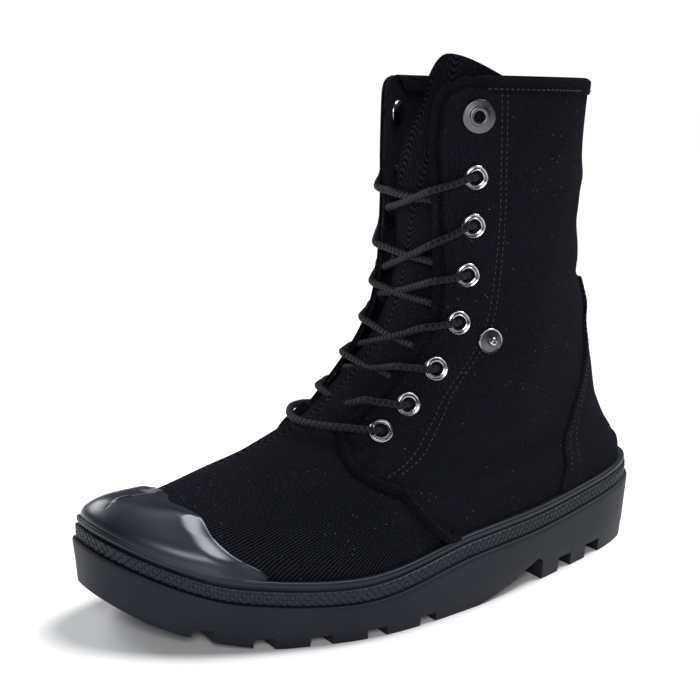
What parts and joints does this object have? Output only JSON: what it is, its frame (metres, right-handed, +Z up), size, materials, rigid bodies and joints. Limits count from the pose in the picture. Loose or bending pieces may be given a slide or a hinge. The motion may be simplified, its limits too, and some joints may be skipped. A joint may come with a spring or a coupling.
{
  "type": "canvas high-top boot",
  "caption": "Left high-top lace-up boot with a hollow canvas upper, rubber toe cap, ribbed foxing band and lugged outsole.",
  "frame": {"origin": "on the floor, under the middle of the outsole box", "axes": "+X towards the toe along the sole, +Y towards the outer side of this left boot, +Z up"},
  "size_m": [0.3026, 0.1085, 0.247],
  "materials": {
    "canvas": "coarse woven cotton canvas, matt black",
    "outsole_rubber": "satin moulded rubber",
    "foxing_rubber": "diamond-ribbed band with a smooth lip",
    "cap_rubber": "smooth semi-gloss rubber",
    "insole_foam": "dark textile-faced foam",
    "eyelet_metal": "bright nickel",
    "snap_metal": "antique gunmetal",
    "lace": "round braided cord, black"
  },
  "bodies": {
    "root": {"outsole": "outsole_rubber", "foxing": "foxing_rubber", "insole": "insole_foam", "upper": "canvas", "toe_cap": "cap_rubber", "heel_counter": "canvas", "quarter_roll_outer": "canvas", "quarter_roll_inner": "canvas", "collar_binding": "canvas", "tongue": "canvas", "eyelet_outer_1": "eyelet_metal", "eyelet_outer_2": "eyelet_metal", "eyelet_outer_3": "eyelet_metal", "eyelet_outer_4": "eyelet_metal", "eyelet_outer_5": "eyelet_metal", "eyelet_outer_6": "eyelet_metal", "eyelet_outer_7": "eyelet_metal", "snap_socket_outer": "snap_metal", "snap_stud_outer": "snap_metal", "eyelet_inner_1": "eyelet_metal", "eyelet_inner_2": "eyelet_metal", "eyelet_inner_3": "eyelet_metal", "eyelet_inner_4": "eyelet_metal", "eyelet_inner_5": "eyelet_metal", "eyelet_inner_6": "eyelet_metal", "eyelet_inner_7": "eyelet_metal", "snap_socket_inner": "snap_metal", "snap_stud_inner": "snap_metal", "lace_bar_1": "lace", "lace_crossing_2": "lace", "lace_crossing_3": "lace", "lace_crossing_4": "lace", "lace_crossing_5": "lace", "lace_crossing_6": "lace", "lace_crossing_7": "lace"}
  },
  "joints": []
}
